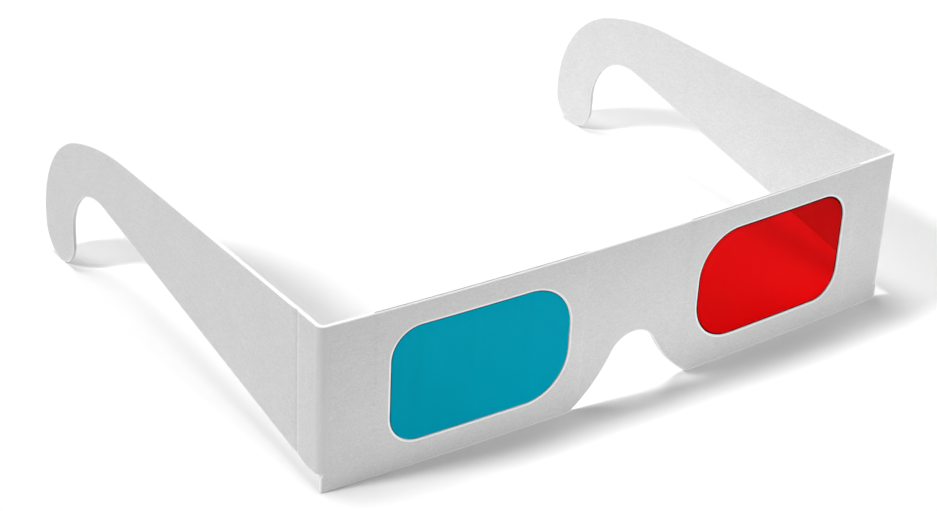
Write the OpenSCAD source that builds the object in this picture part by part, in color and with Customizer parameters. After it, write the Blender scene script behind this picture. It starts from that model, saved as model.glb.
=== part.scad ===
// Folding paperboard viewing glasses. The front is two plies of board with a cyan and a red
// film laminated between them, and each hooked temple folds on a scored crease at its corner.
// X runs across the face, Y runs from the front towards the ears, Z is up from the table.
// Left is the wearer's left, at +X, with the red film.
// The hook tips hang a little below the front, so the glasses stand with the front leaning forward.

/* [Front] */
// Width over the outer faces of the two temples
front_w = 146; // [130:1:164]
// Height of the front
front_h = 36; // [33:0.5:42]
// How far the middle of the front stands forward of the two corners
front_bow = 2.1; // [1:0.1:4]

/* [Board] */
// Thickness of one ply of board
ply_t = 0.3; // [0.2:0.01:0.45]
// Thickness of the film, and of the glue around it, between the plies
core_t = 0.16; // [0.1:0.01:0.3]
// Inner radius of the bend at a crease
crease_in_r = 0.84; // [0.4:0.02:1.6]

/* [Lenses] */
// Distance between the centres of the two apertures
lens_pitch = 74.5; // [70:0.5:80]
// Width of an aperture
lens_w = 41.2; // [36:0.2:44]
// Height of an aperture
lens_h = 25.3; // [21:0.1:28]
// Height of an aperture's centre above the bottom edge
lens_z = 18.3; // [17:0.1:20]
// Corner radius of an aperture on its temple side
lens_temple_r = 6.5; // [3:0.1:9]
// Corner radius of an aperture on its nose side
lens_nose_r = 10; // [6:0.1:10.4]

/* [Films] */
// How far a film reaches past its aperture at each side
film_lap = 3.4; // [2:0.1:5]
// Depth of a film's top edge below the top of the board
film_drop = 0.5; // [0.2:0.1:1.5]
// Height of a film's bottom edge above the bottom of the board
film_foot = 2.5; // [1.5:0.1:3.5]
// Clearance between a film and the glue around it
film_gap = 0.3; // [0.1:0.05:0.6]

/* [Nose notch] */
// Width of the notch at the bottom edge
notch_w = 30.8; // [26:0.1:33]
// Height of the notch
notch_h = 14.3; // [11:0.1:18]
// Radius of the top of the notch
notch_cap_r = 6.3; // [4:0.1:8]
// Radius of the flared sides of the notch
notch_flank_r = 29.7; // [24:0.1:45]
// Radius of the rounded corner where such a side meets the bottom edge
notch_corner_r = 2.5; // [0.5:0.1:4]

/* [Temples] */
// Distance from the front's corner to the back of the hook
temple_reach = 117.5; // [108:0.5:130]
// Height of a temple's lower edge where it leaves the front
root_z = 3.8; // [2:0.1:5]
// Length of the level stretch of that edge, from the corner
root_len = 4.4; // [3:0.1:10]
// Length of the heel of the front below the crease
heel_len = 1; // [0.6:0.1:1.5]
// Clearance between the heel and the temple above it
heel_gap = 0.2; // [0.1:0.05:0.5]

/* [Hooks] */
// Radius of the long curve where the top edge starts to fall
hook_top_r = 70; // [55:1:90]
// Angle at which that curve meets the back of the hook
hook_turn = 20; // [14:0.5:26]
// Radius of the back of the hook
hook_back_r = 26.6; // [23:0.1:32]
// Radius of the rounded tip of the hook
hook_tip_r = 7; // [5.5:0.1:8.5]
// How far the tip hangs below the front's bottom edge
hook_drop = 1.6; // [0:0.1:4]
// Length of the straight inner side of the hook
hook_side = 2.9; // [0.1:0.1:5]
// Radius of the throat that sits over the ear
hook_throat_r = 13.4; // [10:0.1:16]

/* [Score lines] */
// Distance of the second score line from the corner
score_dist = 8.2; // [4:0.1:15]
// Width of that line
score_w = 2.4; // [0.6:0.1:3]
// Depth to which it is pressed
score_depth = 0.16; // [0.05:0.01:0.18]

/* [Hidden] */

board_c = [0.94, 0.94, 0.93];
glue_c = [0.98, 0.96, 0.88];
cyan_c = [0.00, 0.58, 0.69, 0.7];
red_c = [0.88, 0.04, 0.05, 0.7];

// Facets of the drawn curves: a whole circle, the shallow bow, and one arc of an outline
$fn = 96;
bow_fn = 2400;
arc_steps = 20;
// How far a cutter runs past the board
over = 1;

// Layers of the board, as depths behind the outer face
board_t = 2 * ply_t + core_t;
core_d = ply_t;
inner_d = ply_t + core_t;

// Fold axes: where they stand, the circle through both and the front's middle, and its angle
crease_out_r = crease_in_r + board_t;
fold_x = front_w / 2 - crease_out_r;
fold_y = front_bow + crease_out_r;
fold_r = (pow(fold_x, 2) + pow(front_bow, 2)) / (2 * front_bow);
front_r = fold_r + crease_out_r;
end_a = asin(fold_x / fold_r);
heel_a = asin(heel_len / front_r);
heel_h = root_z - heel_gap;
// The rounded cut that takes the heel's upper corner off: its centre across the front, and its radius
heel_x = front_r * sin(end_a + heel_a);
heel_cut_r = 0.3 * heel_len;

// Films, as angles round the centre of the bow
film_in_x = (lens_pitch - lens_w) / 2 - film_lap;
film_out_x = (lens_pitch + lens_w) / 2 + film_lap;
film_in_a = asin(film_in_x / front_r);
film_out_a = asin(film_out_x / front_r);
film_gap_a = asin(film_gap / front_r);

// Nose notch: the centre of its cap, of the flank below it, and of the corner at the bottom edge
cap_p = [0, notch_h - notch_cap_r];
flank_p = circles_meet(cap_p, notch_cap_r + notch_flank_r, [notch_w / 2, 0], notch_flank_r);
cap_a = angle_to(cap_p, flank_p);
corner_run = sqrt(pow(notch_flank_r - notch_corner_r, 2) - pow(flank_p.y - notch_corner_r, 2));
corner_p = [flank_p.x - corner_run, notch_corner_r];
corner_a = angle_to(flank_p, corner_p) + 360;

// Hook: centres of its curves, from the front's corner along the temple, and upwards
tip_p = [temple_reach - hook_tip_r, hook_tip_r - hook_drop];
back_z = front_h - hook_top_r + (hook_top_r - hook_back_r) * cos(hook_turn);
back_run = sqrt(pow(hook_back_r - hook_tip_r, 2) - pow(tip_p.y - back_z, 2));
back_p = [tip_p.x - back_run, back_z];
top_p = [back_p.x - (hook_top_r - hook_back_r) * sin(hook_turn), front_h - hook_top_r];
throat_p = [tip_p.x - hook_tip_r - hook_throat_r, tip_p.y + hook_side];
root_p = [root_len, root_z];
ramp_a = angle_to(root_p, throat_p) + asin(hook_throat_r / norm(throat_p - root_p));

// Stance: the lean that brings the front's bottom edge and both tips down to the table
tip_y = front_bow + tip_p.x;
lean = asin(hook_tip_r / norm([tip_y, tip_p.y])) - atan2(tip_p.y, tip_y);
// How far the leaning top edge stands forward, and the hooks stand back, of the front's bottom edge
reach_front = front_h * sin(lean);
reach_back = tip_y * cos(lean) - tip_p.y * sin(lean) + hook_tip_r;

// Angle of the direction from p to q
function angle_to(p, q) = atan2(q.y - p.y, q.x - p.x);

// Where a circle of radius rp round p meets one of radius rq round q, left of the way from p to q
function circles_meet(p, rp, q, rq) =
    let (d = q - p, l = norm(d), a = (rp * rp - rq * rq + l * l) / (2 * l), h = sqrt(rp * rp - a * a))
    p + (a * d + h * [-d.y, d.x]) / l;

// Points along an arc round p
function arc(p, r, from, to) =
    [for (i = [0 : arc_steps]) let (a = from + (to - from) * i / arc_steps) p + r * [cos(a), sin(a)]];

// The same points with left and right changed over, in reverse order
function mirrored(points) =
    [for (i = [len(points) - 1 : -1 : 0]) [-points[i].x, points[i].y]];

// Stands a shape on the table, with the origin under the middle of the glasses
module placed() {
    translate([0, (reach_front - reach_back) / 2, 0]) rotate([lean, 0, 0]) children();
}

// Gives a shape that is drawn on the wearer's left to the named side
module on_side(side) {
    if (side == "left") placed() children();
    else placed() mirror([1, 0, 0]) children();
}

// A curved sheet d behind the front's face, between two angles and two heights
module bowed_sheet(d, t, from, to, bottom, top) {
    translate([0, front_r, 0])
        rotate([0, 0, from - 90])
            rotate_extrude(angle = to - from, $fn = bow_fn)
                translate([front_r - d - t, bottom]) square([t, top - bottom]);
}

// Runs an outline in X and Z right through the front
module through_front() {
    translate([0, fold_y + over, 0])
        rotate([90, 0, 0]) linear_extrude(fold_y + 2 * over) children();
}

module lens_outline() {
    left = (lens_pitch - lens_w) / 2;
    right = (lens_pitch + lens_w) / 2;
    bottom = lens_z - lens_h / 2;
    top = lens_z + lens_h / 2;
    rt = lens_temple_r;
    rn = lens_nose_r;
    polygon(concat(
        arc([right - rt, bottom + rt], rt, -90, 0),
        arc([right - rt, top - rt], rt, 0, 90),
        arc([left + rn, top - rn], rn, 90, 180),
        arc([left + rn, bottom + rn], rn, 180, 270)
    ));
}

module notch_outline() {
    side = concat(
        [[corner_p.x, -over]],
        arc(corner_p, notch_corner_r, 270, corner_a),
        arc(flank_p, notch_flank_r, corner_a, cap_a + 180),
        arc(cap_p, notch_cap_r, cap_a, 90)
    );
    polygon(concat(side, mirrored(side)));
}

module temple_outline() {
    tip_end_a = angle_to(back_p, tip_p);
    polygon(concat(
        [[crease_out_r, root_z], root_p],
        arc(throat_p, hook_throat_r, 90 + ramp_a, 0),
        arc(tip_p, hook_tip_r, 180, 270),
        arc(tip_p, hook_tip_r, 270, 360 + tip_end_a),
        arc(back_p, hook_back_r, tip_end_a, 90 - hook_turn),
        arc(top_p, hook_top_r, 90 - hook_turn, 90),
        [[crease_out_r, front_h]]
    ));
}

// One layer of the front, with its heels and its nose notch
module front_layer(d, t) {
    difference() {
        bowed_sheet(d, t, -end_a - heel_a, end_a + heel_a, 0, front_h);
        for (side = [0, 1])
            mirror([side, 0, 0]) {
                bowed_sheet(d - over, t + 2 * over, end_a, end_a + 2 * heel_a, heel_h, front_h + over);
                through_front() translate([heel_x, heel_h]) circle(r = heel_cut_r);
            }
        through_front() notch_outline();
    }
}

// One layer of the front with its two apertures
module front_board(d) {
    difference() {
        front_layer(d, ply_t);
        for (side = [0, 1]) mirror([side, 0, 0]) through_front() lens_outline();
    }
}

// One film, drawn on the wearer's left
module film() {
    difference() {
        bowed_sheet(core_d, core_t, film_in_a, film_out_a, film_foot, front_h - film_drop);
        through_front() notch_outline();
    }
}

// The room in the glue for one film, open at the top
module film_pocket() {
    bowed_sheet(core_d - over, core_t + 2 * over, film_in_a - film_gap_a, film_out_a + film_gap_a,
                film_foot - film_gap, front_h + over);
}

// One layer of a crease: a strip of board bent round the fold axis, from the front to the temple
module crease_layer(d, t) {
    translate([fold_x, fold_y, root_z])
        rotate([0, 0, end_a - 90])
            rotate_extrude(angle = 90 - end_a)
                translate([crease_out_r - d - t, 0]) square([t, front_h - root_z]);
}

// One layer of a temple
module temple_layer(d, t) {
    translate([front_w / 2 - d - t, front_bow, 0])
        rotate([90, 0, 90]) linear_extrude(t) temple_outline();
}

// The second score line, pressed into the outer face of a temple
module score_line() {
    r = (pow(score_w / 2, 2) + pow(score_depth, 2)) / (2 * score_depth);
    translate([front_w / 2 + r - score_depth, front_bow + score_dist, -over])
        cylinder(r = r, h = front_h + 2 * over);
}

module front_ply() {
    color(board_c) placed() front_board(0);
}

module back_ply() {
    color(board_c) placed() front_board(inner_d);
}

module front_glue() {
    color(glue_c) placed() difference() {
        front_layer(core_d, core_t);
        for (side = [0, 1]) mirror([side, 0, 0]) film_pocket();
    }
}

module cyan_film() {
    color(cyan_c) on_side("right") film();
}

module red_film() {
    color(red_c) on_side("left") film();
}

module crease_outer_ply(side) {
    color(board_c) on_side(side) crease_layer(0, ply_t);
}

module crease_glue(side) {
    color(glue_c) on_side(side) crease_layer(core_d, core_t);
}

module crease_inner_ply(side) {
    color(board_c) on_side(side) crease_layer(inner_d, ply_t);
}

module temple_outer_ply(side) {
    color(board_c) on_side(side) difference() {
        temple_layer(0, ply_t);
        score_line();
    }
}

module temple_glue(side) {
    color(glue_c) on_side(side) temple_layer(core_d, core_t);
}

module temple_inner_ply(side) {
    color(board_c) on_side(side) temple_layer(inner_d, ply_t);
}

front_ply();
back_ply();
front_glue();
cyan_film();
red_film();
crease_outer_ply("left");  // left_crease_outer_ply
crease_glue("left");  // left_crease_glue
crease_inner_ply("left");  // left_crease_inner_ply
crease_outer_ply("right");  // right_crease_outer_ply
crease_glue("right");  // right_crease_glue
crease_inner_ply("right");  // right_crease_inner_ply
temple_outer_ply("left");  // left_temple_outer_ply
temple_glue("left");  // left_temple_glue
temple_inner_ply("left");  // left_temple_inner_ply
temple_outer_ply("right");  // right_temple_outer_ply
temple_glue("right");  // right_temple_glue
temple_inner_ply("right");  // right_temple_inner_ply
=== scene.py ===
"""Dresses the folding paperboard viewing glasses and sets them in a plain studio.

Shapes are drawn in millimetres in the frame of the flat pattern: X across the face, Y from the front
towards the ears, Z up. Board.place turns such points into metres in the row frame.
"""

import logging
from collections.abc import Callable, Iterable
from dataclasses import dataclass, field
from enum import Enum
from math import asin, atan2, ceil, cos, degrees, dist, hypot, pi, radians, sin, sqrt, tan

import bmesh
import bpy
import numpy as np
from mathutils import Matrix, Vector
from mathutils.geometry import delaunay_2d_cdt


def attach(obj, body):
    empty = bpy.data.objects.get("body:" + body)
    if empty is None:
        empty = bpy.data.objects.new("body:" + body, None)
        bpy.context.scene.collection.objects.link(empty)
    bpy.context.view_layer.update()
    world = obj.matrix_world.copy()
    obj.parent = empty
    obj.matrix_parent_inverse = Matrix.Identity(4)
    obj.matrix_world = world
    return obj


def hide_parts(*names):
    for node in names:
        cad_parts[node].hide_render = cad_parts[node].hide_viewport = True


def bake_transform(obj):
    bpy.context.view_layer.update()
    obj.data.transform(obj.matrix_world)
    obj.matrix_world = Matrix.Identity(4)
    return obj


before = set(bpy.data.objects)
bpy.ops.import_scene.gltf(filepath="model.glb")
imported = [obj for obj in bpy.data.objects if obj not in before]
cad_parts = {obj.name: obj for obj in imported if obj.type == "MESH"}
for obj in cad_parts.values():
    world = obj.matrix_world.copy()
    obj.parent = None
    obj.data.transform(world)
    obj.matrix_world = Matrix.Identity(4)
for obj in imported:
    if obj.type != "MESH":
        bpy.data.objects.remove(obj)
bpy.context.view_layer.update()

MM = 0.001
FRONT_H = 36.0
WHITE = (1.0, 1.0, 1.0, 1.0)

# Drawing of outlines: points closer than JOIN are one, and an arc has at least ARC_PARTS stretches
JOIN = 1e-4
LONGEST_STEP = 1.0
ARC_STEP = 0.1
ARC_PARTS = 6

# Angles in degrees where the rounding of a cut edge has points
EDGE_TURNS = (0.0, 30.0, 60.0, 90.0)

# Where most values of a noise lie, and how strong its finer features are
NOISE_RANGE = (0.3, 0.7)
NOISE_GRAIN = 0.6

log = logging.getLogger("glasses")

Array = np.ndarray
Point = tuple[float, float]
Triple = tuple[float, float, float]
Bend = Callable[[Array, Array, Array], Array]
Piece = bpy.types.Object
Material = bpy.types.Material
Socket = bpy.types.NodeSocket


class Side(Enum):
    """The wearer's two sides."""

    LEFT = "left"
    RIGHT = "right"

    @property
    def body(self) -> str:
        """Name of the temple's body on this side."""
        return f"{self.value}_temple"

    @property
    def mirrored(self) -> bool:
        """True where the left side's shapes are turned over."""
        return self is Side.RIGHT


class Layer(Enum):
    """The layers of the board, from the outside in."""

    OUTER = "outer_ply"
    GLUE = "glue"
    INNER = "inner_ply"


class Zone(Enum):
    """Which finish a face of a sheet takes: its material slot. Those of pressed strips come after."""

    FACE = 0
    EDGE = 1


def ramp(value: Array, low: float, high: float) -> Array:
    """Smooth rise from 0 at low to 1 at high."""
    t = np.clip((value - low) / (high - low), 0.0, 1.0)
    return t * t * (3.0 - 2.0 * t)


def heading(start: Point, end: Point) -> float:
    """Angle in degrees of the direction from start to end."""
    return degrees(atan2(end[1] - start[1], end[0] - start[0]))


def circles_meet(p: Point, rp: float, q: Point, rq: float) -> Point:
    """Where two circles meet, on the left of the way from p to q.

    Args:
        p: Centre of the first circle.
        rp: Its radius.
        q: Centre of the second circle.
        rq: Its radius.

    Returns:
        The meeting point.
    """
    dx, dz = q[0] - p[0], q[1] - p[1]
    gap = hypot(dx, dz)
    along = (rp * rp - rq * rq + gap * gap) / (2.0 * gap)
    aside = sqrt(rp * rp - along * along)
    return (p[0] + (along * dx - aside * dz) / gap, p[1] + (along * dz + aside * dx) / gap)


def uprights(places: Iterable[float], low: float, high: float, count: int) -> list[Array]:
    """Upright lines on a flat sheet, one at each place, as points from low to high."""
    heights = np.linspace(low, high, count)
    return [np.column_stack((np.full(count, x), heights)) for x in places]


def grey(level: float) -> Triple:
    """A grey as a colour."""
    return (level, level, level)


def scaled(colour: Triple, factor: float) -> Triple:
    """A colour made lighter or darker, at most white."""
    return tuple(min(1.0, c * factor) for c in colour)


def new_object(name: str, data: bpy.types.ID) -> Piece:
    """Adds an object to the scene.

    Args:
        name: Its name.
        data: The mesh, light or camera that it shows.

    Returns:
        The object.
    """
    obj = bpy.data.objects.new(name, data)
    bpy.context.scene.collection.objects.link(obj)
    return obj


@dataclass(frozen=True)
class Hook:
    """The ear hook that ends a temple, in distance from the front's corner and height."""

    reach: float = 117.5
    front_h: float = FRONT_H
    top_r: float = 70.0
    turn: float = 20.0
    back_r: float = 26.6
    tip_r: float = 7.0
    drop: float = 1.6
    side: float = 2.9
    throat_r: float = 13.4

    @property
    def tip(self) -> Point:
        """Centre of the rounded tip."""
        return (self.reach - self.tip_r, self.tip_r - self.drop)

    @property
    def back(self) -> Point:
        """Centre of the back of the hook."""
        z = self.front_h - self.top_r + (self.top_r - self.back_r) * cos(radians(self.turn))
        return (self.tip[0] - sqrt((self.back_r - self.tip_r) ** 2 - (self.tip[1] - z) ** 2), z)

    @property
    def top(self) -> Point:
        """Centre of the long curve where the top edge starts to fall."""
        run = (self.top_r - self.back_r) * sin(radians(self.turn))
        return (self.back[0] - run, self.front_h - self.top_r)

    @property
    def throat(self) -> Point:
        """Centre of the throat that sits over the ear."""
        return (self.tip[0] - self.tip_r - self.throat_r, self.tip[1] + self.side)


@dataclass(frozen=True)
class Board:
    """The laminated board: its layers, its bow, its folds and how the glasses stand."""

    front_w: float = 146.0
    front_h: float = FRONT_H
    front_bow: float = 2.1
    ply_t: float = 0.3
    core_t: float = 0.16
    crease_in_r: float = 0.84
    root_z: float = 3.8
    seam_lap: float = 0.5
    hook: Hook = Hook()

    @property
    def crease_out_r(self) -> float:
        """Outer radius of the bend at a crease."""
        return self.crease_in_r + 2.0 * self.ply_t + self.core_t

    @property
    def fold(self) -> Point:
        """Where the left fold axis stands, in X and Y."""
        return (self.front_w / 2.0 - self.crease_out_r, self.front_bow + self.crease_out_r)

    @property
    def fold_r(self) -> float:
        """Radius of the circle through both fold axes."""
        return (self.fold[0] ** 2 + self.front_bow**2) / (2.0 * self.front_bow)

    @property
    def front_r(self) -> float:
        """Radius of the front's outer face."""
        return self.fold_r + self.crease_out_r

    @property
    def end_a(self) -> float:
        """Angle from the front's middle to its end, in radians."""
        return asin(self.fold[0] / self.fold_r)

    @property
    def sweep(self) -> float:
        """Angle of the bend from the front to the temple, in radians."""
        return pi / 2.0 - self.end_a

    @property
    def ring(self) -> float:
        """Length of the bend round its outer face."""
        return self.crease_out_r * self.sweep

    @property
    def end_x(self) -> float:
        """Where the front ends and the bend starts."""
        return self.front_r * sin(self.end_a)

    @property
    def seam_x(self) -> float:
        """Where the front's sheet hands over to the crease's sheet."""
        return self.front_r * sin(self.end_a - self.seam_lap / self.front_r)

    @property
    def seam_u(self) -> float:
        """Where the crease's sheet hands over to the temple's sheet, from the corner."""
        return self.crease_out_r + self.seam_lap

    @property
    def lean(self) -> float:
        """Forward lean that brings the bottom edge and both hook tips to the table."""
        y, z = self.front_bow + self.hook.tip[0], self.hook.tip[1]
        return asin(self.hook.tip_r / hypot(y, z)) - atan2(z, y)

    @property
    def shift(self) -> float:
        """How far the glasses move along Y to stand over the origin."""
        y, z, a = self.front_bow + self.hook.tip[0], self.hook.tip[1], self.lean
        return (self.front_h * sin(a) - (y * cos(a) - z * sin(a) + self.hook.tip_r)) / 2.0

    def depths(self, layer: Layer) -> Point:
        """Depths of a layer's outer and inner face behind the outside of the board."""
        first = {Layer.OUTER: 0.0, Layer.GLUE: self.ply_t, Layer.INNER: self.ply_t + self.core_t}[layer]
        return (first, first + (self.core_t if layer is Layer.GLUE else self.ply_t))

    def bowed(self, x: Array, z: Array, d: Array) -> Array:
        """Points of the bowed front, by place across it, height and depth."""
        t, r = np.arcsin(x / self.front_r), self.front_r - d
        return np.stack((r * np.sin(t), self.front_r - r * np.cos(t), z), axis=1)

    def folded(self, s: Array, z: Array, d: Array) -> Array:
        """Bends a crease's sheet round the left fold, from the front to the temple.

        Args:
            s: Distances past the front's end.
            z: Heights.
            d: Depths behind the outside of the board.

        Returns:
            Points in the pattern's frame.
        """
        a = -self.sweep + np.clip(s / self.ring, 0.0, 1.0) * self.sweep
        r = self.crease_out_r - d
        t = self.end_a + np.minimum(s, 0.0) / self.front_r
        flat = self.front_r - d
        x = np.where(s < 0.0, flat * np.sin(t), self.fold[0] + r * np.cos(a))
        y = np.where(s < 0.0, self.front_r - flat * np.cos(t), self.fold[1] + r * np.sin(a))
        return np.stack((x, y + np.maximum(s - self.ring, 0.0), z), axis=1)

    def straight(self, u: Array, z: Array, d: Array) -> Array:
        """Points of the left temple, by distance from the corner, height and depth."""
        return np.stack((self.front_w / 2.0 - d, self.front_bow + u, z), axis=1)

    def place(self, points: Array, mirrored: bool = False) -> Array:
        """Points of the pattern's frame, in metres where they stand in the row frame."""
        (x, y, z), c, s = points.T, cos(self.lean), sin(self.lean)
        return np.stack((-x if mirrored else x, y * c - z * s + self.shift, y * s + z * c), axis=1) * MM


@dataclass
class Outline:
    """A closed line on a flat sheet, with the sheet on the left of the way round.

    A seam is a stretch where the board carries on in the next sheet, so it has no cut edge.
    """

    points: list[Point] = field(default_factory=list)
    seams: list[bool] = field(default_factory=list)

    def add(self, point: Point, seam: bool = False) -> None:
        """Adds a point, unless the line is there already.

        Args:
            point: Where it lies, along and up the sheet.
            seam: True where the board carries on past the stretch that leads to it.
        """
        if not self.points or dist(point, self.points[-1]) > JOIN:
            self.points.append(point)
            self.seams.append(seam)

    def line(self, x: float, z: float, seam: bool = False, step: float = LONGEST_STEP) -> None:
        """Draws a straight line to a point.

        Args:
            x: Where it ends, along the sheet.
            z: Where it ends, up the sheet.
            seam: True where the board carries on past the line.
            step: Longest distance between points.
        """
        x0, z0 = self.points[-1]
        count = max(1, ceil(hypot(x - x0, z - z0) / step))
        for i in range(1, count + 1):
            self.add((x0 + (x - x0) * i / count, z0 + (z - z0) * i / count), seam)

    def arc(self, centre: Point, radius: float, begin: float, end: float) -> None:
        """Draws an arc, and before it a straight line to where it begins.

        Args:
            centre: Its centre.
            radius: Its radius.
            begin: Angle where it begins, in degrees.
            end: Angle where it ends.
        """
        length = abs(radians(end - begin)) * radius
        count = max(ARC_PARTS, ceil(length / min(LONGEST_STEP, ARC_STEP * radius + ARC_STEP)))
        angles = [radians(begin + (end - begin) * i / count) for i in range(count + 1)]
        points = [(centre[0] + radius * cos(a), centre[1] + radius * sin(a)) for a in angles]
        if self.points:
            self.line(*points[0])
        for point in points:
            self.add(point)

    def close(self) -> "Outline":
        """The outline without its last point, which has come back to the first."""
        return Outline(self.points[:-1], self.seams[-1:] + self.seams[1:-1])

    def turned_over(self) -> "Outline":
        """The same line with left and right changed over."""
        seams = self.seams[::-1]
        return Outline([(-x, z) for x, z in reversed(self.points)], seams[-1:] + seams[:-1])

    def inset(self, amount: float, least_turn: float = 0.05) -> Array:
        """Moves the line into the sheet, but not off a seam.

        Args:
            amount: How far.
            least_turn: Sine of the least turn that counts as a corner.

        Returns:
            The moved points.
        """
        p = np.array(self.points)
        way = p - np.roll(p, 1, axis=0)
        way /= np.linalg.norm(way, axis=1, keepdims=True)
        n1 = np.stack((-way[:, 1], way[:, 0]), axis=1)
        o1 = np.where(self.seams, 0.0, amount)
        n2, o2 = np.roll(n1, -1, axis=0), np.roll(o1, -1)
        cross = n1[:, 0] * n2[:, 1] - n1[:, 1] * n2[:, 0]
        mean = n1 + n2
        mean /= np.linalg.norm(mean, axis=1, keepdims=True)
        bent = np.abs(cross) > least_turn
        safe = np.where(bent, cross, 1.0)
        meet = np.stack((o1 * n2[:, 1] - o2 * n1[:, 1], o2 * n1[:, 0] - o1 * n2[:, 0]), axis=1)
        return p + np.where(bent[:, None], meet / safe[:, None], mean * ((o1 + o2) / 2.0)[:, None])


@dataclass(frozen=True)
class CutEdge:
    """How a die-cut edge is softened, and how wide a band of the face beside it takes the edge's finish,
    which on the board is painted lighter as a painted highlight.
    """

    outer_r: float = 0.09
    inner_r: float = 0.02
    outer_rim: float = 0.15
    inner_rim: float = 0.05

    def on(self, layer: Layer) -> "CutEdge":
        """The edge as a layer has it, with its softer side away from the glue."""
        other = CutEdge(self.inner_r, self.outer_r, self.inner_rim, self.outer_rim)
        return other if layer is Layer.INNER else self

    def rows(self, depths: Point) -> list[Point]:
        """Rows of points from the outer face round to the inner face.

        Args:
            depths: Depths of the two faces.

        Returns:
            How far each row stands in from the cut, and its depth.
        """
        bend = [(1 - sin(radians(a)), 1 - cos(radians(a))) for a in EDGE_TURNS]
        outer = [(self.outer_r * aside, depths[0] + self.outer_r * down) for aside, down in bend]
        inner = [(self.inner_r * aside, depths[1] - self.inner_r * down) for aside, down in bend]
        # The first and last rows leave a band of the face beside the cut in the edge's finish, which on the
        # board is a painted highlight.
        first = (self.outer_r + self.outer_rim, depths[0])
        last = (self.inner_r + self.inner_rim, depths[1])
        return [first, *outer, *reversed(inner), last]


@dataclass
class Shell:
    """A sheet's mesh while it is drawn: points by place on the sheet and depth, and its faces."""

    points: list[Array] = field(default_factory=list)
    faces: list[list[int]] = field(default_factory=list)
    zones: list[int] = field(default_factory=list)

    def add(self, flat: Array, depth: float) -> int:
        """Adds points at one depth, and tells the number of the first."""
        self.points.append(np.column_stack((flat, np.full(len(flat), depth))))
        return sum(len(block) for block in self.points[:-1])

    def face(self, corners: list[int], zone: int) -> None:
        """Adds a face and the number of its finish."""
        self.faces.append(corners)
        self.zones.append(zone)


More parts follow.
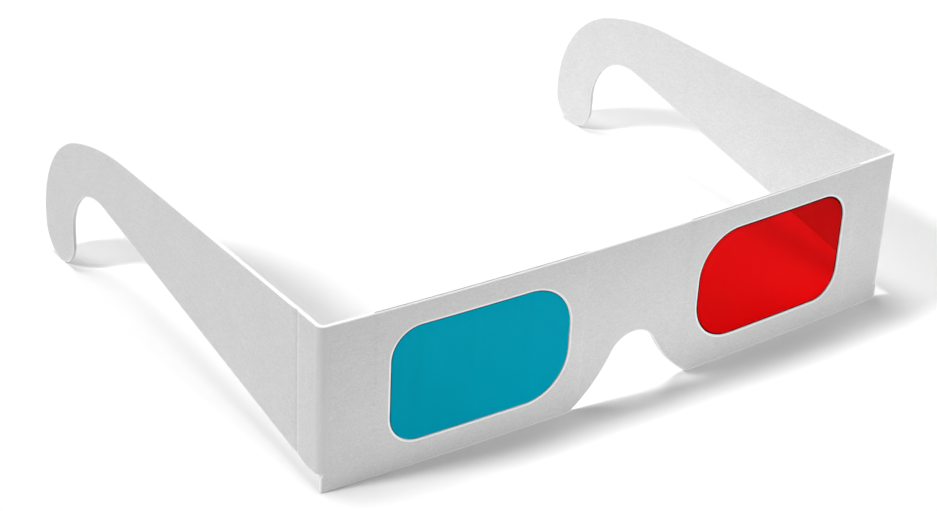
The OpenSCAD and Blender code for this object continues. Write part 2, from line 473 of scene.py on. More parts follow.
@dataclass
class Sheet:
    """One layer of the board: a flat cut with softened edges that a bend then shapes.

    Its triangles keep to the marks, and each strip, by its two ends, has a finish of its own.
    """

    outline: Outline
    depths: Point
    edge: CutEdge
    holes: list[Outline] = field(default_factory=list)
    hole_edge: CutEdge = CutEdge()
    spacing: float = 1.3
    clear: float = 0.6
    thinnest: float = 0.001
    merge: float = 1e-7
    marks: list[Array] = field(default_factory=list)
    strips: list[Point] = field(default_factory=list)

    @staticmethod
    def inside(points: Array, rims: list[Array]) -> Array:
        """Tells which points lie on the board, by counting the lines to their right.

        Args:
            points: The points.
            rims: Points of the outline and the holes.

        Returns:
            True for each point on the board.
        """
        crossings = np.zeros(len(points), int)
        for rim in rims:
            for (x0, z0), (x1, z1) in zip(rim, np.roll(rim, -1, axis=0)):
                spans = (z0 > points[:, 1]) != (z1 > points[:, 1])
                if z1 != z0:
                    x = x0 + (points[:, 1] - z0) * (x1 - x0) / (z1 - z0)
                    crossings += spans & (points[:, 0] < x)
        return crossings % 2 == 1

    def fill(self, rims: list[Array]) -> Array:
        """Spreads points over the board, in rows that stand half a space apart by turns.

        Args:
            rims: Points of the outline and the holes.

        Returns:
            The points that stand clear of the edges and the marks.
        """
        low, high = rims[0].min(axis=0), rims[0].max(axis=0)
        rise = self.spacing * sqrt(3.0) / 2.0
        rows = []
        for k, z in enumerate(np.arange(low[1] + rise / 2.0, high[1], rise)):
            x = np.arange(low[0] + self.spacing * (0.25 + 0.5 * (k % 2)), high[0], self.spacing)
            rows.append(np.stack((x, np.full_like(x, z)), axis=1))
        points = np.concatenate(rows)
        points = points[self.inside(points, rims)]
        gap = np.full(len(points), np.inf)
        for p in np.concatenate([*rims, *self.marks]):
            gap = np.minimum(gap, np.hypot(points[:, 0] - p[0], points[:, 1] - p[1]))
        return points[gap > self.clear * self.spacing]

    def triangles(self, rims: list[Array], inner: Array) -> Array:
        """Covers the board with triangles, turned the same way round as its outline.

        Args:
            rims: Points of the outline and the holes.
            inner: The points spread over the board.

        Returns:
            Corner numbers into the points of the rims, the marks and the spread, in that order.
        """
        coords, edges = [], []
        for chain, ends in [*((rim, 0) for rim in rims), *((mark, 1) for mark in self.marks)]:
            base, n = len(coords), len(chain)
            coords += [Vector(p) for p in chain]
            edges += [(base + i, base + (i + 1) % n) for i in range(n - ends)]
        coords += [Vector(p) for p in inner]
        made, _, cells, origins, *_ = delaunay_2d_cdt(coords, edges, [], 0, self.merge)
        flat = np.array([(v.x, v.y) for v in made])
        tris = np.array(cells)
        a, b, c = flat[tris[:, 0]], flat[tris[:, 1]], flat[tris[:, 2]]
        area = (b[:, 0] - a[:, 0]) * (c[:, 1] - a[:, 1]) - (b[:, 1] - a[:, 1]) * (c[:, 0] - a[:, 0])
        longest = np.max([np.linalg.norm(q - p, axis=1) for p, q in ((a, b), (b, c), (c, a))], axis=0)
        keep = self.inside((a + b + c) / 3.0, rims) & (np.abs(area) > self.thinnest * longest)
        corners = np.array([ids[0] for ids in origins])[tris]
        return np.where(area[:, None] > 0.0, corners, corners[:, ::-1])[keep]

    def wall(self, shell: Shell, loop: Outline, edge: CutEdge) -> tuple[Array, int, int]:
        """Draws the cut edge round the board or a hole, and flat ends where the board carries on.

        Args:
            shell: The drawing.
            loop: The outline or the hole.
            edge: How its edge is softened.

        Returns:
            Points of the row on a face, and its first number on the outer and the inner face.
        """
        rows = edge.rows(self.depths)
        flats = [loop.inset(amount) for amount, _ in rows]
        bases = [shell.add(flat, depth) for flat, (_, depth) in zip(flats, rows)]
        n = len(loop.points)
        for i in range(n):
            h = (i - 1) % n
            if loop.seams[i] != loop.seams[(i + 1) % n]:
                stop = [shell.add(flat[[i]], depth) for flat, (_, depth) in zip(flats, rows)]
                shell.face(stop[::-1] if loop.seams[i] else stop, Zone.EDGE.value)
            if loop.seams[i]:
                cap = shell.add(flats[-1][[h, i]], self.depths[1])
                shell.add(flats[0][[i, h]], self.depths[0])
                shell.face([cap, cap + 1, cap + 2, cap + 3], Zone.EDGE.value)
                continue
            for upper, lower in zip(bases, bases[1:]):
                shell.face([lower + h, lower + i, upper + i, upper + h], Zone.EDGE.value)
        return flats[0], bases[0], bases[-1]

    def make(self, name: str, board: Board, bend: Bend, mirrored: bool = False) -> Piece:
        """Builds the sheet as a mesh object in the row frame.

        Args:
            name: Name of the piece.
            board: The board that places the bent points.
            bend: Turns place on the sheet and depth into the pattern's frame.
            mirrored: True for the wearer's right side.

        Returns:
            The new object.
        """
        shell = Shell()
        loops = [(self.outline, self.edge), *((hole, self.hole_edge) for hole in self.holes)]
        walls = [self.wall(shell, loop, edge) for loop, edge in loops]
        rims = [wall[0] for wall in walls]
        spread = self.fill(rims)
        tris = self.triangles(rims, spread)
        loose = np.concatenate([*self.marks, spread])
        middles = np.concatenate([*rims, loose])[tris].mean(axis=1)[:, 0]
        zones = np.full(len(tris), Zone.FACE.value)
        for k, (low, high) in enumerate(self.strips):
            zones[(middles > low) & (middles < high)] = len(Zone) + k
        for face, depth in enumerate(self.depths):
            numbers = [i for rim, *bases in walls for i in range(bases[face], bases[face] + len(rim))]
            base = shell.add(loose, depth)
            lookup = np.array([*numbers, *range(base, base + len(loose))])
            for corners, zone in zip(lookup[tris].tolist(), zones.tolist()):
                shell.face(corners[::-1] if face else corners, zone)
        points = np.concatenate(shell.points)
        used = np.unique(np.concatenate(shell.faces))
        number = np.full(len(points), -1)
        number[used] = np.arange(len(used))
        bent = board.place(bend(*points[used].T), mirrored)
        mesh = bpy.data.meshes.new(name)
        turns = [number[f[::-1] if mirrored else f].tolist() for f in shell.faces]
        mesh.from_pydata(bent.tolist(), [], turns)
        mesh.polygons.foreach_set("material_index", shell.zones)
        mesh.shade_smooth()
        mesh.update()
        return new_object(name, mesh)


class Graph:
    """A node tree, with short calls that add and join its nodes."""

    def __init__(self, tree: bpy.types.NodeTree) -> None:
        """Empties the tree."""
        self.tree = tree
        tree.nodes.clear()

    @classmethod
    def of_material(cls, name: str) -> tuple["Graph", Material, Socket]:
        """Makes a material.

        Args:
            name: Its name.

        Returns:
            Its graph, the material, and coordinates in metres on the piece.
        """
        material = bpy.data.materials.new(name)
        material.use_nodes = True
        graph = cls(material.node_tree)
        return graph, material, graph.add("TexCoord", {}).outputs["Object"]

    def add(self, kind: str, inputs: dict[str | int, object], **settings: object) -> bpy.types.Node:
        """Adds a node.

        Args:
            kind: The node's type, without ShaderNode in front.
            inputs: Sockets to join and values to set, by name or number.
            **settings: The node's own settings.

        Returns:
            The new node.
        """
        node = self.tree.nodes.new(f"ShaderNode{kind}")
        for key, value in settings.items():
            setattr(node, key, value)
        for key, value in inputs.items():
            if isinstance(value, Socket):
                self.tree.links.new(value, node.inputs[key])
            else:
                node.inputs[key].default_value = value
        return node

    def noise(self, coords: Socket, size_mm: float, detail: float, twist: float = 0.0) -> Socket:
        """Noise with features of a size in millimetres."""
        inputs = {"Vector": coords, "Scale": 1.0 / (size_mm * MM), "Detail": detail, "Distortion": twist}
        return self.add("TexNoise", {**inputs, "Roughness": NOISE_GRAIN}).outputs["Fac"]

    def stretched(self, coords: Socket, stretch: Triple, turn: Triple = (0.0, 0.0, 0.0)) -> Socket:
        """Coordinates turned by degrees and stretched, for strands and streaks."""
        angles = tuple(radians(a) for a in turn)
        return self.add("Mapping", {"Vector": coords, "Rotation": angles, "Scale": stretch}).outputs[0]

    def weigh(self, parts: list[tuple[Socket, float]]) -> Socket:
        """Adds values up by weight.

        Args:
            parts: Each value and its weight.

        Returns:
            The sum.
        """
        total: Socket | float = 0.0
        for value, weight in parts:
            total = self.add("Math", {0: value, 1: weight, 2: total}, operation="MULTIPLY_ADD").outputs[0]
        return total

    def spread(self, value: Socket, source: Point, target: Point) -> Socket:
        """A value carried from one range to another."""
        inputs = {0: value, 1: source[0], 2: source[1], 3: target[0], 4: target[1]}
        return self.add("MapRange", inputs).outputs[0]

    def tint(self, factor: Socket, dark: Triple, light: Triple) -> Socket:
        """A colour between two, by a factor."""
        made = self.add("Mix", {0: factor, 6: (*dark, 1.0), 7: (*light, 1.0)}, data_type="RGBA")
        return made.outputs[2]

    def vary(self, value: Socket, span: Point, colour: Triple, contrast: float) -> Socket:
        """A colour that goes from darker to lighter as a value crosses its span."""
        dark, light = scaled(colour, 1.0 - contrast), scaled(colour, 1.0 + contrast)
        return self.tint(self.spread(value, span, (0.0, 1.0)), dark, light)

    def end(self, shader: bpy.types.Node) -> None:
        """Joins the last shader to the material's output."""
        self.add("OutputMaterial", {"Surface": shader.outputs[0]})


@dataclass(frozen=True)
class BoardFinish:
    """White uncoated board: matted fibres, faint clouds and, on a fold, streaks along it."""

    name: str
    colour: Triple
    contrast: float = 0.1
    tone_range: Point = (0.38, 0.62)
    fibre_mm: float = 0.36
    fibre_share: float = 0.5
    strand_mm: float = 0.3
    strand_share: float = 0.2
    strand_run: float = 0.14
    cloud_mm: float = 8.0
    cloud_share: float = 0.1
    roughness: float = 0.86
    rough_swing: float = 0.07
    relief: float = 0.45
    relief_mm: float = 0.03
    sheen: float = 0.3
    streaks: float = 0.0
    streak_mm: float = 0.22
    streak_run: float = 0.03

    def material(self) -> Material:
        """Makes the board's material.

        Returns:
            The material.
        """
        graph, material, coords = Graph.of_material(self.name)
        fibre = graph.noise(coords, self.fibre_mm, detail=5.0, twist=0.7)
        across = graph.stretched(coords, (1.0, self.strand_run, 1.0), turn=(25.0, 40.0, 15.0))
        along = graph.stretched(coords, (self.strand_run, 1.0, 1.0), turn=(70.0, -35.0, 50.0))
        strands = [graph.noise(way, self.strand_mm, detail=2.0) for way in (across, along)]
        cloud = graph.noise(coords, self.cloud_mm, detail=3.0)
        parts = [(fibre, self.fibre_share), *((strand, self.strand_share) for strand in strands)]
        parts.append((cloud, self.cloud_share))
        if self.streaks:
            run = graph.stretched(coords, (1.0, 1.0, self.streak_run))
            parts = [(value, weight * (1.0 - self.streaks)) for value, weight in parts]
            parts.append((graph.noise(run, self.streak_mm, detail=3.0), self.streaks))
        tone = graph.weigh(parts)
        colour = graph.vary(tone, self.tone_range, self.colour, self.contrast)
        swing = (self.roughness - self.rough_swing, self.roughness + self.rough_swing)
        rough = graph.spread(fibre, NOISE_RANGE, swing)
        bump = graph.add("Bump", {"Strength": self.relief, "Distance": self.relief_mm * MM, "Height": tone})
        look = {"Base Color": colour, "Roughness": rough, "Normal": bump.outputs[0]}
        graph.end(graph.add("BsdfPrincipled", {**look, "Specular IOR Level": self.sheen}))
        return material


@dataclass(frozen=True)
class GlueFinish:
    """Dried paper glue: off white, uneven and a little shiny."""

    name: str = "dried_glue"
    colour: Triple = (0.90, 0.89, 0.84)
    shade: float = 0.93
    blot_mm: float = 2.2
    rough_range: Point = (0.4, 0.65)
    relief: float = 0.3
    relief_mm: float = 0.03

    def material(self) -> Material:
        """Makes the glue's material.

        Returns:
            The material.
        """
        graph, material, coords = Graph.of_material(self.name)
        blot = graph.noise(coords, self.blot_mm, detail=4.0, twist=0.8)
        even = graph.spread(blot, NOISE_RANGE, (0.0, 1.0))
        colour = graph.tint(even, scaled(self.colour, self.shade), self.colour)
        rough = graph.spread(blot, NOISE_RANGE, self.rough_range)
        bump = graph.add("Bump", {"Strength": self.relief, "Distance": self.relief_mm * MM, "Height": blot})
        look = {"Base Color": colour, "Roughness": rough, "Normal": bump.outputs[0]}
        graph.end(graph.add("BsdfPrincipled", look))
        return material


@dataclass(frozen=True)
class GelFinish:
    """Coloured see-through gel film, with faint streaks from the roller it was cast on."""

    name: str
    colour: Triple
    contrast: float = 0.02
    streak_mm: float = 1.6
    streak_run: float = 0.05
    rough_range: Point = (0.03, 0.08)
    ior: float = 1.06

    def material(self) -> Material:
        """Makes the gel's material.

        Returns:
            The material.
        """
        graph, material, coords = Graph.of_material(self.name)
        run = graph.stretched(coords, (1.0, 1.0, self.streak_run))
        streak = graph.noise(run, self.streak_mm, detail=3.0)
        colour = graph.vary(streak, NOISE_RANGE, self.colour, self.contrast)
        rough = graph.spread(streak, NOISE_RANGE, self.rough_range)
        look = {"Base Color": colour, "Roughness": rough, "IOR": self.ior, "Transmission Weight": 1.0}
        graph.end(graph.add("BsdfPrincipled", look))
        return material


class Finishes:
    """Every finish of the glasses, made once."""

    def __init__(self) -> None:
        """Makes the materials."""
        self.outside = BoardFinish("outside_board", grey(0.64)).material()
        # The inside finishes are painted lighter than the outside ones: painted light that stands in for
        # the brighter light falling on the inner faces.
        self.inside = BoardFinish("inside_board_painted_lighter", grey(0.78)).material()
        # The cut edges' board is painted much lighter than the faces: a painted highlight for light
        # catching the cut edges.
        self.edge = BoardFinish(
            "cut_edge_painted_lighter", grey(0.88), contrast=0.03, fibre_mm=0.2, roughness=0.9, relief_mm=0.05
        ).material()
        self.fold = BoardFinish("folded_board", grey(0.65), contrast=0.06, streaks=0.3).material()
        self.inside_fold_painted_lighter = BoardFinish("inside_fold_painted_lighter", grey(0.78), contrast=0.06, streaks=0.3).material()
        # The score line's lip and floor are painted lighter and darker than the board: painted highlight
        # and painted shade for the groove's walls.
        self.score_lip_painted_highlight = BoardFinish("score_lip_painted_highlight", grey(0.685), contrast=0.08).material()
        self.score_floor_painted_shade = BoardFinish("score_floor_painted_shade", grey(0.595), contrast=0.08).material()
        self.glue = GlueFinish().material()
        self.cyan = GelFinish("cyan_gel", (0.0, 0.289, 0.414)).material()
        self.red = GelFinish("red_gel", (0.615, 0.001, 0.0015)).material()

    def face(self, layer: Layer) -> Material:
        """The board of a ply; the inner ply's is painted lighter, as painted light for the brighter light
        falling on the inside faces.
        """
        return self.inside if layer is Layer.INNER else self.outside

    def bent(self, layer: Layer) -> Material:
        """The board of a ply where it bends round a fold; the inner ply's is painted lighter, as painted
        light.
        """
        return self.inside_fold_painted_lighter if layer is Layer.INNER else self.fold

    @staticmethod
    def dress(piece: Piece, *materials: Material) -> None:
        """Puts materials in a piece's slots, in place of any that are there.

        Args:
            piece: The piece.
            *materials: Its materials, in the order of its slots.
        """
        # Clearing would also send every face of a new mesh back to the first slot
        if piece.data.materials:
            piece.data.materials.clear()
        for material in materials:
            piece.data.materials.append(material)


@dataclass
class Front:
    """The bowed front: two plies with apertures, a nose notch and heels, and the films between them.

    The plies swell over the films. The inner ply's apertures are a ring smaller and lie off their place.
    """

    board: Board
    finishes: Finishes
    lens_pitch: float = 74.5
    lens_w: float = 41.2
    lens_h: float = 25.3
    lens_z: float = 18.3
    lens_temple_r: float = 6.5
    lens_nose_r: float = 10.0
    film_lap: float = 3.4
    film_drop: float = 0.5
    film_foot: float = 2.5
    film_gap: float = 0.01
    film_spacing: float = 2.0
    notch_w: float = 30.8
    notch_h: float = 14.3
    notch_cap_r: float = 6.3
    notch_flank_r: float = 29.7
    notch_corner_r: float = 2.5
    heel_len: float = 1.0
    heel_gap: float = 0.04
    heel_r: float = 0.3
    heel_step: float = 0.4
    swell: float = 0.045
    swell_end: float = 0.3
    swell_foot: float = 0.7
    mark_low: float = 1.5
    mark_top: float = 0.6
    mark_count: int = 28
    red_ring: float = 0.34
    red_shift: Point = (0.4, -0.32)
    cyan_ring: float = 0.1
    cyan_shift: Point = (-0.35, -0.38)
    cut: CutEdge = CutEdge()
    # The wide band beside the apertures takes the cut edge's lighter finish: a painted highlight ring round
    # each aperture.
    aperture_cut: CutEdge = CutEdge(outer_r=0.2, outer_rim=0.26)
    film_cut: CutEdge = CutEdge(0.02, 0.02, 0.05, 0.05)

    @property
    def film_span(self) -> Point:
        """Where a film starts and ends across the front, from the middle."""
        inner = (self.lens_pitch - self.lens_w) / 2.0 - self.film_lap
        return (inner, inner + self.lens_w + 2.0 * self.film_lap)

    def outline(self) -> Outline:
        """Draws the front's edge: from the top of the notch down its left side and round.

        Returns:
            The outline.
        """
        board = self.board
        cap: Point = (0.0, self.notch_h - self.notch_cap_r)
        foot: Point = (self.notch_w / 2.0, 0.0)
        flank = circles_meet(cap, self.notch_cap_r + self.notch_flank_r, foot, self.notch_flank_r)
        cap_a = heading(cap, flank)
        reach, rise = self.notch_flank_r - self.notch_corner_r, flank[1] - self.notch_corner_r
        corner: Point = (flank[0] - sqrt(reach**2 - rise**2), self.notch_corner_r)
        corner_a = heading(flank, corner) + 360.0
        heel_h = board.root_z - self.heel_gap
        heel_x = board.front_r * sin(board.end_a + asin(self.heel_len / board.front_r))
        half = Outline()
        half.arc(cap, self.notch_cap_r, 90.0, cap_a)
        half.arc(flank, self.notch_flank_r, cap_a + 180.0, corner_a)
        half.arc(corner, self.notch_corner_r, corner_a, 270.0)
        half.line(heel_x, 0.0)
        half.line(heel_x, heel_h - self.heel_r, step=self.heel_step)
        half.arc((heel_x, heel_h), self.heel_r, 270.0, 180.0)
        half.line(board.end_x, heel_h, seam=True)
        half.line(board.end_x, board.root_z)
        half.line(board.seam_x, board.root_z, seam=True)
        half.line(board.seam_x, board.front_h, seam=True)
        half.line(0.0, board.front_h)
        other = half.turned_over()
        return Outline(half.points + other.points[1:], half.seams + other.seams[1:]).close()

    def aperture(self, ring: float = 0.0, shift: Point = (0.0, 0.0)) -> Outline:
        """Draws the left aperture's edge, with the board on the left of the way round.

        Args:
            ring: How much smaller the aperture is all round.
            shift: How far it lies off its place.

        Returns:
            The outline.
        """
        left = (self.lens_pitch - self.lens_w) / 2.0 + ring + shift[0]
        right = left + self.lens_w - 2.0 * ring
        low = self.lens_z - self.lens_h / 2.0 + ring + shift[1]
        high = low + self.lens_h - 2.0 * ring
        rt, rn = self.lens_temple_r - ring, self.lens_nose_r - ring
        made = Outline()
        made.arc((left + rn, low + rn), rn, 270.0, 180.0)
        made.arc((left + rn, high - rn), rn, 180.0, 90.0)
        made.arc((right - rt, high - rt), rt, 90.0, 0.0)
        made.arc((right - rt, low + rt), rt, 0.0, -90.0)
        made.line(left + rn, low)
        return made.close()

    def lift(self, x: Array, z: Array) -> Array:
        """Tells how far each ply is pushed out over the films.

        Args:
            x: Places across the front.
            z: Heights.

        Returns:
            Distances from the ply's plain bow.
        """
        a, e, f, (inner, outer) = np.abs(x), self.swell_end, self.swell_foot, self.film_span
        film = ramp(a, inner - e, inner + e) * (1.0 - ramp(a, outer - e, outer + e))
        return self.swell * film * ramp(z, self.film_foot - f, self.film_foot + f)

    def pressed_marks(self) -> list[Array]:
        """Draws lines along the ends of the films, where the plies step down to the glue.

        Returns:
            The lines.
        """
        steps = [k * self.swell_end for k in (-1.0, -0.5, 0.0, 0.5, 1.0)]
        places = [side * (x + step) for side in (-1, 1) for x in self.film_span for step in steps]
        low, high = self.film_foot + self.mark_low, self.board.front_h - self.mark_top
        return uprights(places, low, high, self.mark_count)

    def ply(self, name: str, node: str, layer: Layer) -> Piece:
        """Builds one ply of the front.

        Args:
            name: Name of the piece.
            node: The CAD node that it stands for.
            layer: Which ply it is.

        Returns:
            The piece.
        """
        red, cyan = self.aperture(), self.aperture()
        if layer is Layer.INNER:
            red = self.aperture(self.red_ring, self.red_shift)
            cyan = self.aperture(self.cyan_ring, self.cyan_shift)
        way = -1.0 if layer is Layer.OUTER else 1.0

        def bend(x: Array, z: Array, d: Array) -> Array:
            """Bows the ply and pushes it out over the films."""
            return self.board.bowed(x, z, d + way * self.lift(x, z))

        sheet = Sheet(
            self.outline(),
            self.board.depths(layer),
            self.cut.on(layer),
            [red, cyan.turned_over()],
            self.aperture_cut.on(layer),
            marks=self.pressed_marks(),
        )
        piece = sheet.make(name, self.board, bend)
        self.finishes.dress(piece, self.finishes.face(layer), self.finishes.edge)
        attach(piece, "frame")
        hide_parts(node)
        return piece

    def film(self, name: str, side: Side, material: Material) -> Piece:
        """Builds one film.

        Args:
            name: Name of the film's node.
            side: The eye that it serves.
            material: Its gel.

        Returns:
            The piece.
        """
        inner, outer = self.film_span
        low, high = self.film_foot, self.board.front_h - self.film_drop
        edge = Outline()
        edge.add((inner, low))
        for corner in ((outer, low), (outer, high), (inner, high), (inner, low)):
            edge.line(*corner)
        front, back = self.board.depths(Layer.GLUE)
        depths = (front + self.film_gap, back - self.film_gap)
        sheet = Sheet(edge.close(), depths, self.film_cut, spacing=self.film_spacing)
        piece = sheet.make(f"{name}_gel", self.board, self.board.bowed, side.mirrored)
        self.finishes.dress(piece, material, material)
        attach(piece, "frame")
        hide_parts(name)
        return piece

    def build(self) -> list[Piece]:
        """Builds the plies and films, and dresses the glue between them.

        Returns:
            The pieces.
        """
        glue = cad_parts["front_glue"]
        self.finishes.dress(glue, self.finishes.glue)
        return [
            self.ply("front_outer_ply", "front_ply", Layer.OUTER),
            self.ply("front_inner_ply", "back_ply", Layer.INNER),
            self.film("cyan_film", Side.RIGHT, self.finishes.cyan),
            self.film("red_film", Side.LEFT, self.finishes.red),
            glue,
        ]


@dataclass
class Crease:
    """The bent strip at one corner, in three layers."""

    board: Board
    finishes: Finishes
    side: Side
    spacing: float = 0.6
    lap_step: float = 0.25
    bend_step: float = 0.1
    bend_parts: int = 24
    mark_margin: float = 0.9
    mark_count: int = 34
    glue_trim: float = 0.03
    cut: CutEdge = CutEdge()
    glue_cut: CutEdge = CutEdge(0.01, 0.01, 0.03, 0.03)

    def outline(self, lap: float, trim: float) -> Outline:
        """Draws the strip's edge, cut at top and bottom and joined to the board at its two ends.

        Args:
            lap: How far it reaches past the bend on to the front and the temple.
            trim: How far the cut edges stand back.

        Returns:
            The outline.
        """
        board, made = self.board, Outline()
        low, high = board.root_z + trim, board.front_h - trim
        made.add((-lap, low))
        made.line(0.0, low, seam=True, step=self.lap_step)
        made.line(board.ring, low, step=self.bend_step)
        made.line(board.ring + lap, low, step=self.lap_step)
        made.line(board.ring + lap, high, seam=True)
        made.line(board.ring, high, step=self.lap_step)
        made.line(0.0, high, step=self.bend_step)
        made.line(-lap, high, step=self.lap_step)
        made.line(-lap, low, seam=True)
        return made.close()

    def strip(self, layer: Layer) -> Piece:
        """Builds one layer of the strip, bent round the fold.

        Args:
            layer: The layer.

        Returns:
            The piece.
        """
        board, finishes = self.board, self.finishes
        slot, cut, lap, trim = "board", self.cut.on(layer), board.seam_lap, 0.0
        materials = (finishes.bent(layer), finishes.edge)
        if layer is Layer.GLUE:
            slot, cut, lap, trim = "glue", self.glue_cut, 0.0, self.glue_trim
            materials = (finishes.glue, finishes.glue)
        turns = np.linspace(0.0, board.ring, self.bend_parts + 1)[1:-1]
        low, high = board.root_z + self.mark_margin, board.front_h - self.mark_margin
        marks = uprights(turns, low, high, self.mark_count)
        depths = board.depths(layer)
        sheet = Sheet(self.outline(lap, trim), depths, cut, spacing=self.spacing, marks=marks)
        name = f"{self.side.value}_crease_{layer.value}"
        piece = sheet.make(f"{name}_strip", board, board.folded, self.side.mirrored)
        finishes.dress(piece, *materials)
        middle = (np.full(2, board.front_h / 2.0), np.full(2, sum(depths) / 2.0))
        ends = board.folded(np.array([0.0, board.ring]), *middle)
        start, end = (Vector(p) for p in board.place(ends, self.side.mirrored))
        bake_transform(piece)
        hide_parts(name)
        return piece

    def build(self) -> list[Piece]:
        """Builds the three layers."""
        return [self.strip(layer) for layer in Layer]


@dataclass
class Temple:
    """One hooked temple: two plies with glue between them, and a score line across the outer one.

    The score line has a lip painted lighter before its deepest line, a painted highlight, and a floor
    painted darker behind it, a painted shade.
    """

    board: Board
    finishes: Finishes
    side: Side
    root_len: float = 4.4
    score_dist: float = 8.2
    score_near_w: float = 0.9
    score_far_w: float = 1.6
    score_depth: float = 0.16
    score_parts: int = 6
    floor_parts: int = 2
    lip_gap_parts: int = 1
    ridge_share: float = 0.4
    spacing: float = 1.8
    mark_low: float = 5.6
    mark_top: float = 0.6
    mark_count: int = 32
    cut: CutEdge = CutEdge()

    @property
    def score_stops(self) -> list[float]:
        """Places across the score line where its section is drawn."""
        n, near, far = self.score_parts, self.score_near_w, self.score_far_w
        return [self.score_dist + k * (near if k < 0 else far) / n for k in range(-n, n + 1)]

    @property
    def painted_score_strips(self) -> list[Point]:
        """The lip and the floor of the score line, each by its two ends, where the highlight and the shade
        are painted.
        """
        stops, n = self.score_stops, self.score_parts
        return [(stops[0], stops[n - self.lip_gap_parts]), (stops[n], stops[n + self.floor_parts])]

    def outline(self) -> Outline:
        """Draws the temple's edge: along the bottom, round the hook and back along the top.

        Returns:
            The outline.
        """
        hook, board = self.board.hook, self.board
        root: Point = (self.root_len, board.root_z)
        gap = dist(root, hook.throat)
        ramp_a = heading(root, hook.throat) + degrees(asin(hook.throat_r / gap))
        tip_a = heading(hook.back, hook.tip)
        slope = tan(radians(ramp_a))
        made = Outline()
        made.add((board.seam_u, board.root_z))
        made.line(*root)
        for u in self.score_stops:
            made.line(u, board.root_z + max(0.0, u - self.root_len) * slope)
        made.arc(hook.throat, hook.throat_r, 90.0 + ramp_a, 0.0)
        made.arc(hook.tip, hook.tip_r, 180.0, 360.0 + tip_a)
        made.arc(hook.back, hook.back_r, tip_a, 90.0 - hook.turn)
        made.arc(hook.top, hook.top_r, 90.0 - hook.turn, 90.0)
        for u in reversed(self.score_stops):
            made.line(u, board.front_h)
        made.line(board.seam_u, board.front_h)
        made.line(board.seam_u, board.root_z, seam=True)
        return made.close()

    def pressed(self, u: Array) -> Array:
        """Depth of the score line's pressed groove, which is steeper on the side of the front."""
        off = (u - self.score_dist) / np.where(u < self.score_dist, self.score_near_w, self.score_far_w)
        return self.score_depth * np.clip(1.0 - off * off, 0.0, None) ** 2

    def ply(self, layer: Layer) -> Piece:
        """Builds one ply of the temple.

        Args:
            layer: Which ply it is.

        Returns:
            The piece.
        """
        board, finishes = self.board, self.finishes
        front, back = board.depths(layer)
        high = board.front_h - self.mark_top
        is_outer, ridge = layer is Layer.OUTER, self.ridge_share

        def bend(u: Array, z: Array, d: Array) -> Array:
            """Presses the score line into the outside face and raises it on the inside face."""
            share = (d - front) / (back - front)
            return board.straight(u, z, d + (1.0 - share if is_outer else ridge * share) * self.pressed(u))

        sheet = Sheet(
            self.outline(),
            (front, back),
            self.cut.on(layer),
            spacing=self.spacing,
            marks=uprights(self.score_stops, self.mark_low, high, self.mark_count),
            strips=self.painted_score_strips if is_outer else [],
        )
        name = f"{self.side.body}_{layer.value}"
        piece = sheet.make(f"{name}_sheet", board, bend, self.side.mirrored)
        painted_score_light = (finishes.score_lip_painted_highlight, finishes.score_floor_painted_shade) if is_outer else ()
        finishes.dress(piece, finishes.face(layer), finishes.edge, *painted_score_light)
        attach(piece, self.side.body)
        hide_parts(name)
        return piece

    def build(self) -> list[Piece]:
        """Builds both plies and dresses the glue between them.

        Returns:
            The pieces.
        """
        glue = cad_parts[f"{self.side.body}_glue"]
        self.finishes.dress(glue, self.finishes.glue)
        return [self.ply(Layer.OUTER), self.ply(Layer.INNER), glue]


def hang(light: bpy.types.Light, towards: Vector) -> Piece:
    """Adds a light to the scene.

    Args:
        light: The light.
        towards: The way from what it lights to where it stands.

    Returns:
        Its object.
    """
    obj = new_object(light.name, light)
    obj.rotation_mode = "QUATERNION"
    obj.rotation_quaternion = towards.to_track_quat("Z", "Y")
    return obj


@dataclass(frozen=True)
class Lamp:
    """A soft lamp far away: where it stands, how bright it is and how wide it looks in degrees."""

    name: str
    towards: Triple
    energy: float
    spread: float

    def build(self) -> None:
        """Adds the lamp."""
        light = bpy.data.lights.new(self.name, "SUN")
        light.energy = self.energy
        light.angle = radians(self.spread)
        light.cycles.use_multiple_importance_sampling = False
        hang(light, Vector(self.towards))


@dataclass(frozen=True)
class Softbox:
    """A soft lamp beside the glasses, out of the camera's sight: sizes and places in millimetres."""

    name: str
    at: Triple
    aim: Triple
    size: Point
    power: float

    def build(self) -> None:
        """Adds the lamp."""
        light = bpy.data.lights.new(self.name, "AREA")
        light.shape = "RECTANGLE"
        light.size, light.size_y = (s * MM for s in self.size)
        light.energy = self.power
        obj = hang(light, Vector(self.at) - Vector(self.aim))
        obj.location = Vector(self.at) * MM
        obj.visible_camera = obj.visible_glossy = obj.visible_transmission = False


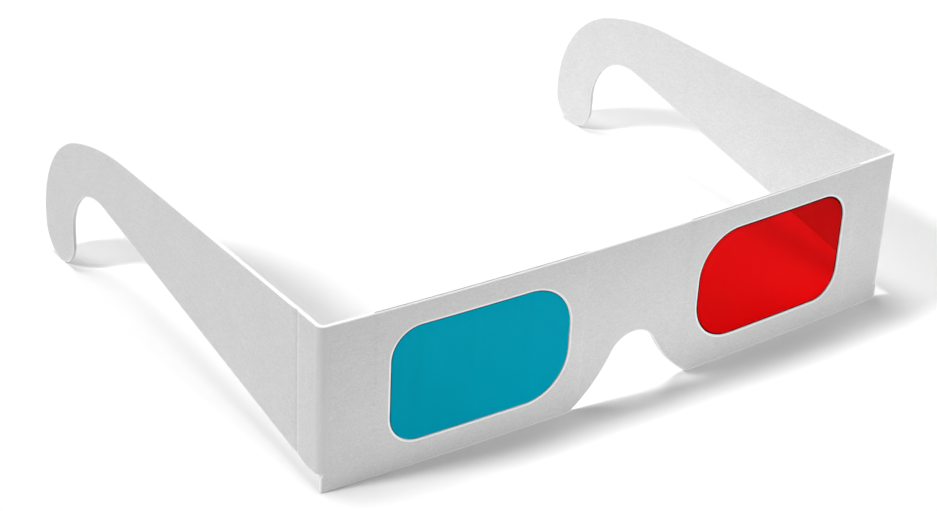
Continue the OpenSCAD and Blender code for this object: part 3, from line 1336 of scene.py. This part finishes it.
@dataclass
class Studio:
    """White floor, soft light and the photograph's camera.

    The floor's sizes are in metres, and the camera's place is in millimetres.
    """

    floor_half: float = 5.0
    floor_cells: int = 8
    floor_drop: float = 0.00002
    floor_colour: float = 0.92
    floor_bounce: float = 0.7
    red_white: float = 0.2
    cyan_white: float = 0.8
    between_films: float = 0.02
    sky: float = 0.10
    lens: float = 80.154
    sensor: float = 36.0
    clip: Point = (0.01, 50.0)
    eye: Triple = (-243.416, -335.108, 222.473)
    bearing: float = 36.177
    dip: float = 27.723
    roll: float = 2.209
    lamps: tuple[Lamp | Softbox, ...] = (
        Lamp("overhead", (-0.08, 0.24, 0.97), 1.8, 26.0),
        Lamp("left_side", (-0.74, 0.18, 0.648), 1.88, 10.0),
        Lamp("front_fill", (0.45, -0.88, 0.16), 0.53, 14.0),
        Lamp("right_rim", (0.97, -0.05, 0.20), 1.95, 18.0),
        Softbox("low_card", (8.0, -100.0, 6.0), (8.0, -58.0, 6.0), (170.0, 8.0), 0.0145),
    )

    @staticmethod
    def seen(graph: Graph) -> Socket:
        """Tells the rays that show the backdrop: from the camera, mirrored, or through a film.

        Args:
            graph: The graph that asks.

        Returns:
            1 for such a ray, or else 0.
        """
        path = graph.add("LightPath", {}).outputs
        shown = path["Is Camera Ray"]
        for kind in ("Is Glossy Ray", "Is Transmission Ray"):
            shown = graph.add("Math", {0: shown, 1: path[kind]}, operation="MAXIMUM").outputs[0]
        return shown

    def floor(self) -> None:
        """Adds the floor, which looks partly plain white through a film, most so through the cyan one."""
        mesh = bpy.data.meshes.new("studio_floor")
        shape = bmesh.new()
        cells = self.floor_cells
        bmesh.ops.create_grid(shape, x_segments=cells, y_segments=cells, size=self.floor_half)
        shape.to_mesh(mesh)
        shape.free()
        obj = new_object("studio_floor", mesh)
        obj.location.z = -self.floor_drop
        graph, material, coords = Graph.of_material("studio_white")
        shade = graph.tint(self.seen(graph), grey(self.floor_bounce), grey(self.floor_colour))
        paint = graph.add("BsdfDiffuse", {"Color": shade})
        glow = graph.add("Emission", {"Color": WHITE, "Strength": 1.0})
        through = graph.add("LightPath", {}).outputs["Is Transmission Ray"]
        place = graph.add("SeparateXYZ", {0: coords}).outputs["X"]
        border = (-self.between_films, self.between_films)
        white = graph.spread(place, border, (self.cyan_white, self.red_white))
        share = graph.add("Math", {0: through, 1: white}, operation="MULTIPLY").outputs[0]
        graph.end(graph.add("MixShader", {0: share, 1: paint.outputs[0], 2: glow.outputs[0]}))
        mesh.materials.append(material)

    def world(self) -> None:
        """Sets an even sky that looks white to the camera."""
        world = bpy.data.worlds.new("studio_sky")
        world.use_nodes = True
        graph = Graph(world.node_tree)
        strength = graph.spread(self.seen(graph), (0.0, 1.0), (self.sky, 1.0))
        light = graph.add("Background", {"Color": WHITE, "Strength": strength})
        graph.add("OutputWorld", {"Surface": light.outputs[0]})
        bpy.context.scene.world = world

    def camera(self) -> None:
        """Adds the camera where the photograph was taken from."""
        b, d, r = (radians(a) for a in (self.bearing, self.dip, self.roll))
        ahead = Vector((sin(b) * cos(d), cos(b) * cos(d), -sin(d)))
        level = Vector((cos(b), -sin(b), 0.0))
        right = level * cos(r) + level.cross(ahead) * sin(r)
        up = right.cross(ahead)
        data = bpy.data.cameras.new("photo_camera")
        data.sensor_fit = "HORIZONTAL"
        data.sensor_width = self.sensor
        data.lens = self.lens
        data.clip_start, data.clip_end = self.clip
        obj = new_object("photo_camera", data)
        turn = Matrix((right, up, -ahead)).transposed().to_4x4()
        obj.matrix_world = Matrix.Translation(Vector(self.eye) * MM) @ turn
        bpy.context.scene.camera = obj

    def build(self) -> None:
        """Sets the whole studio up."""
        bpy.context.scene.view_settings.view_transform = "Standard"
        bpy.context.scene.cycles.caustics_reflective = False
        bpy.context.scene.cycles.caustics_refractive = False
        self.floor()
        self.world()
        self.camera()
        for lamp in self.lamps:
            lamp.build()


def main() -> None:
    """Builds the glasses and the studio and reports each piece."""
    logging.basicConfig(level=logging.INFO, format="%(name)s: %(message)s")
    board, finishes = Board(), Finishes()
    assemblies = [Front(board, finishes)]
    for side in Side:
        assemblies += [Crease(board, finishes, side), Temple(board, finishes, side)]
    for assembly in assemblies:
        for piece in assembly.build():
            log.info("%s %s: %d faces", type(assembly).__name__, piece.name, len(piece.data.polygons))
    Studio().build()


if __name__ == "__main__":
    main()
